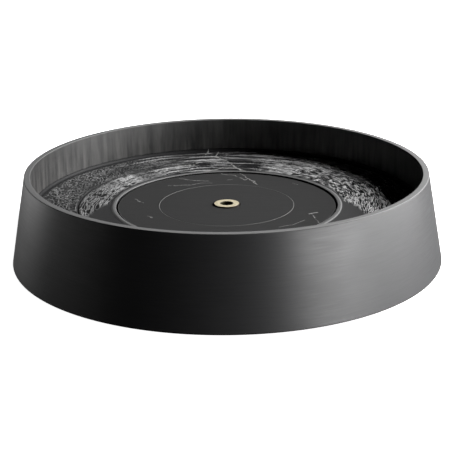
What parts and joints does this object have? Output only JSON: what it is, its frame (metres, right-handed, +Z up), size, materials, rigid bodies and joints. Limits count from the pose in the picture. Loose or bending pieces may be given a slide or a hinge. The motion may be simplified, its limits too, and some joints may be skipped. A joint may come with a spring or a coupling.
{
  "type": "pottery wheel",
  "caption": "Tabletop momentum pottery wheel: round pan with a tapered wall and a raised lip round a free-spinning wheel head with a centring ring and a brass centre bush.",
  "frame": {"origin": "on the spindle's axis, on the table that the feet stand on", "axes": "+Z up along the spindle, +X through foot_1"},
  "size_m": [0.42, 0.42, 0.088],
  "materials": {
    "coated_casting": "cast aluminium, turned outside, as cast in the basin, matt black coating",
    "head_coating": "turned aluminium, matt charcoal coating, fine scratches",
    "plate_coating": "pressed steel sheet, black powder coating",
    "bush_brass": "turned, pale and satin",
    "cage_brass": "pressed",
    "bearing_steel": "ground and polished",
    "zinc_steel": "zinc plated",
    "flywheel_iron": "turned all over, oiled",
    "black_rubber": "moulded, matt",
    "grey_felt": "pressed wool felt"
  },
  "bodies": {
    "casing": {"pan_wall": "coated_casting", "basin_floor": "coated_casting", "floor_seal": "black_rubber", "bearing_cup": "zinc_steel", "cup_gasket": "black_rubber", "cup_screw_1": "zinc_steel", "cup_screw_2": "zinc_steel", "cup_screw_3": "zinc_steel", "cup_screw_4": "zinc_steel", "cup_screw_5": "zinc_steel", "cup_screw_6": "zinc_steel", "base_plate": "plate_coating", "wall_screw_1": "zinc_steel", "wall_screw_2": "zinc_steel", "wall_screw_3": "zinc_steel", "foot_1": "black_rubber", "foot_2": "black_rubber", "foot_3": "black_rubber", "foot_4": "black_rubber", "foot_5": "black_rubber", "foot_6": "black_rubber", "foot_screw_1": "zinc_steel", "foot_screw_2": "zinc_steel", "foot_screw_3": "zinc_steel", "foot_screw_4": "zinc_steel", "foot_screw_5": "zinc_steel", "foot_screw_6": "zinc_steel", "spindle": "bearing_steel", "spindle_washer": "zinc_steel", "spindle_nut": "zinc_steel", "lower_race": "bearing_steel", "felt_seal": "grey_felt"},
    "ball_cage": {"ball_cage_ring": "cage_brass", "ball_1": "bearing_steel", "ball_2": "bearing_steel", "ball_3": "bearing_steel", "ball_4": "bearing_steel", "ball_5": "bearing_steel", "ball_6": "bearing_steel", "ball_7": "bearing_steel", "ball_8": "bearing_steel", "ball_9": "bearing_steel", "ball_10": "bearing_steel", "ball_11": "bearing_steel", "ball_12": "bearing_steel"},
    "rotor": {"upper_race": "bearing_steel", "rotor_hub": "coated_casting", "lower_bush": "bush_brass", "centre_bush": "bush_brass", "wheel_head": "head_coating", "flywheel": "flywheel_iron", "hub_screw_1": "zinc_steel", "hub_screw_2": "zinc_steel", "hub_screw_3": "zinc_steel", "hub_screw_4": "zinc_steel", "flywheel_screw_1": "zinc_steel", "flywheel_screw_2": "zinc_steel", "flywheel_screw_3": "zinc_steel", "flywheel_screw_4": "zinc_steel"}
  },
  "joints": [
    {"name": "wheel_spin", "type": "hinge", "parent": "casing", "child": "rotor", "pos_m": [0, 0, 0], "axis": [0, 0, 1], "continuous": true},
    {"name": "ball_cage_spin", "type": "hinge", "parent": "casing", "child": "ball_cage", "pos_m": [0, 0, 0], "axis": [0, 0, 1], "continuous": true}
  ],
  "couplings": [
    {"joint": "ball_cage_spin", "follows": "wheel_spin", "ratio": 0.5}
  ]
}
